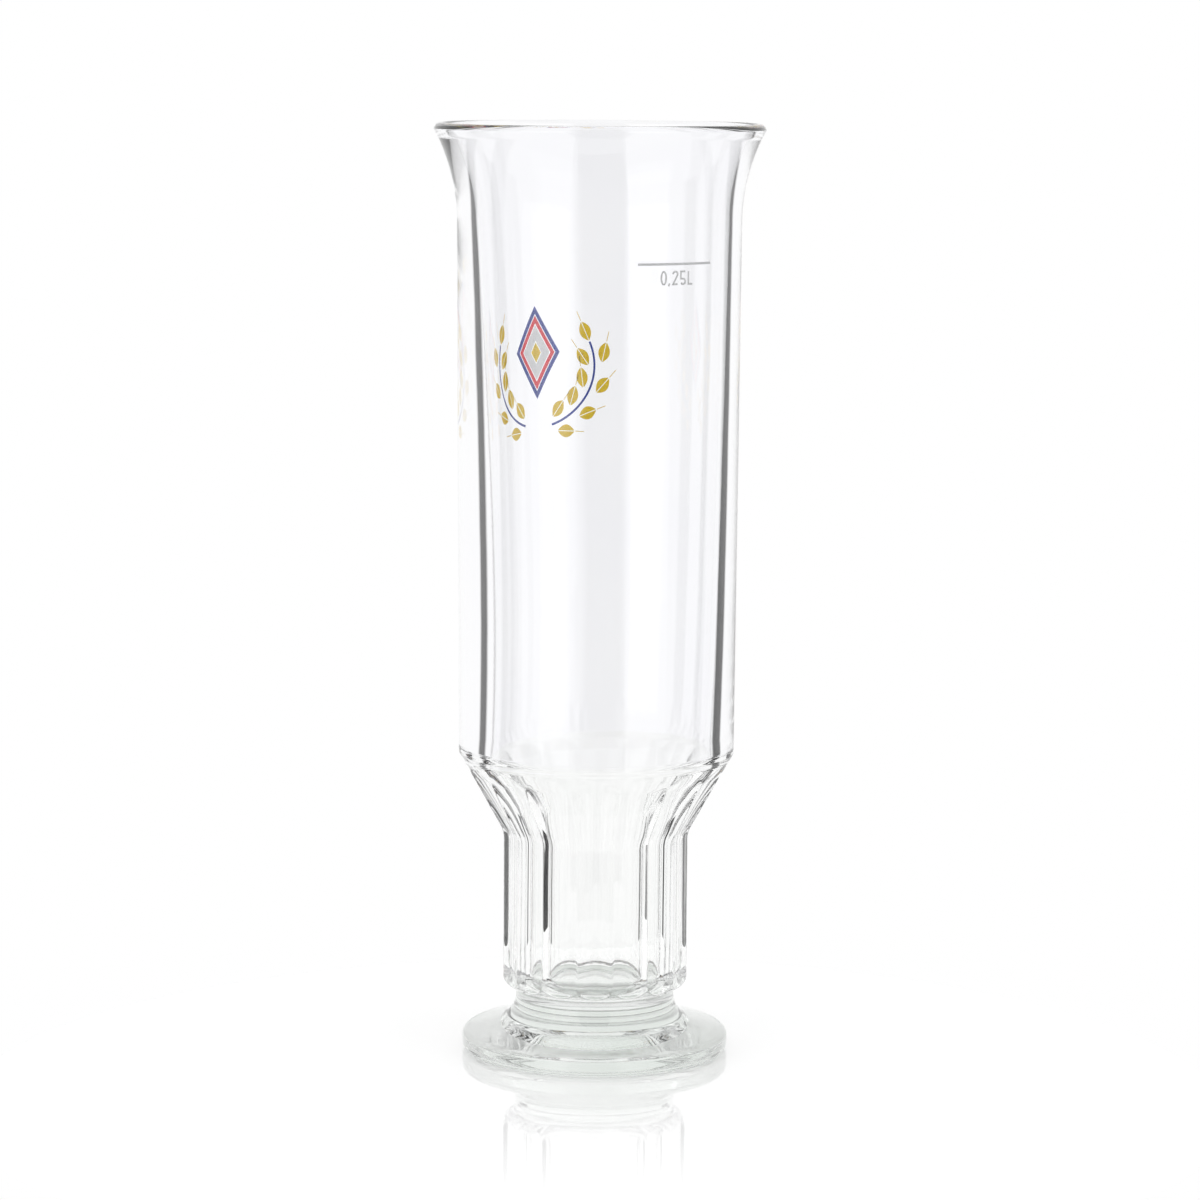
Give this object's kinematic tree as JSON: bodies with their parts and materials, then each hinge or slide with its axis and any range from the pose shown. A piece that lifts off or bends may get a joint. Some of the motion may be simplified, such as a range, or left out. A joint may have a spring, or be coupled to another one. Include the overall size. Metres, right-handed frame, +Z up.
{
  "type": "beer glass",
  "caption": "Footed beer glass: slim flared bowl stepping down to a hollow fluted stem on a round domed foot, with a capacity line and a printed badge.",
  "frame": {"origin": "centre of the circle that the foot rests on, in the plane of the table", "axes": "+Z up along the axis of the glass, -Y towards the viewer of the picture, +X to the right"},
  "size_m": [0.07, 0.07, 0.199],
  "materials": {
    "clear_glass": "fire-polished pressed glass",
    "grey_ink": "satin fired enamel ink",
    "navy_ink": "satin fired enamel ink",
    "red_ink": "satin fired enamel ink",
    "pale_ink": "satin fired enamel ink",
    "gold_ink": "satin fired enamel ink"
  },
  "bodies": {
    "root": {"bowl": "clear_glass", "fluted_stem": "clear_glass", "foot": "clear_glass", "mark_line": "grey_ink", "mark_zero": "grey_ink", "mark_comma": "grey_ink", "mark_two": "grey_ink", "mark_five": "grey_ink", "mark_litre": "grey_ink", "lozenge_frame": "navy_ink", "lozenge_border": "red_ink", "lozenge_field": "pale_ink", "lozenge_core": "gold_ink", "ear_left_stalk": "navy_ink", "ear_left_grain_1a": "gold_ink", "ear_left_grain_1b": "gold_ink", "ear_left_grain_2a": "gold_ink", "ear_left_grain_2b": "gold_ink", "ear_left_grain_3a": "gold_ink", "ear_left_grain_3b": "gold_ink", "ear_left_grain_4a": "gold_ink", "ear_left_grain_4b": "gold_ink", "ear_left_tip": "gold_ink", "ear_right_stalk": "navy_ink", "ear_right_grain_1a": "gold_ink", "ear_right_grain_1b": "gold_ink", "ear_right_grain_2a": "gold_ink", "ear_right_grain_2b": "gold_ink", "ear_right_grain_3a": "gold_ink", "ear_right_grain_3b": "gold_ink", "ear_right_grain_4a": "gold_ink", "ear_right_grain_4b": "gold_ink", "ear_right_tip": "gold_ink"}
  },
  "joints": []
}
